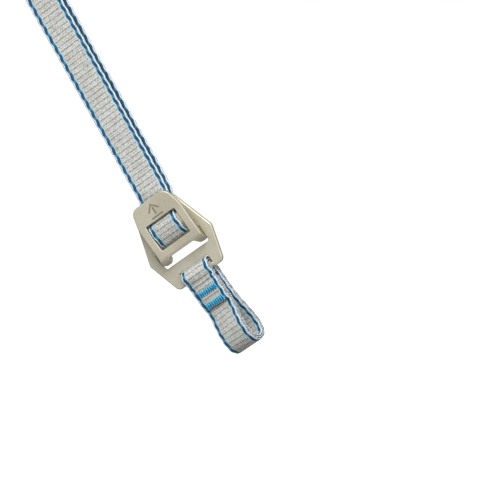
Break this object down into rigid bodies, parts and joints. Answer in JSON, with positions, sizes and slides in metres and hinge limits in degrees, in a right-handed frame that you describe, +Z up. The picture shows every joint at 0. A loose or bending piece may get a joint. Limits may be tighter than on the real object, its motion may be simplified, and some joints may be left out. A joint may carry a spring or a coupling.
{
  "type": "strap buckle",
  "caption": "Quick-connect strap buckle: a metal hook plate seats in a slotted hexagonal plate, joining an adjustable webbing strap to a sewn webbing loop.",
  "frame": {"origin": "inner top of the sewn eye of the strap, where the part hangs", "axes": "+Z up towards the anchor, along the plates' own centre line; -Y is the front; X runs across the plates"},
  "size_m": [0.0609, 0.0194, 0.3096],
  "materials": {
    "hook_metal": "satin champagne anodised",
    "receiver_metal": "satin champagne anodised",
    "strap_webbing": "ribbed woven webbing with blue edge tracers",
    "loop_webbing": "ribbed woven webbing with blue edge tracers",
    "tack_thread": "sewn zigzag thread"
  },
  "bodies": {
    "strap": {"strap_run": "strap_webbing", "strap_tail": "strap_webbing", "eye_tack_upper": "tack_thread", "eye_tack_lower": "tack_thread", "hem_tack": "tack_thread"},
    "hook": {"hook_plate": "hook_metal", "strap_in_buckle": "strap_webbing"},
    "receiver": {"receiver_plate": "receiver_metal"},
    "loop": {"hammock_loop": "loop_webbing", "loop_tack_upper": "tack_thread", "loop_tack_lower": "tack_thread"}
  },
  "joints": [
    {"name": "strap_fold", "type": "hinge", "parent": "strap", "child": "hook", "pos_m": [-0.02152, 0, -0.20133], "axis": [1, 0, 0], "range_deg": [-45, 55]},
    {"name": "plate_unhook", "type": "slide", "parent": "hook", "child": "receiver", "axis": [0, 0.9659, 0.2588], "range_m": [0, 0.016]},
    {"name": "loop_swing", "type": "hinge", "parent": "receiver", "child": "loop", "pos_m": [-0.02707, 0.0027, -0.25573], "axis": [1, 0, 0], "range_deg": [-75, 75]}
  ]
}
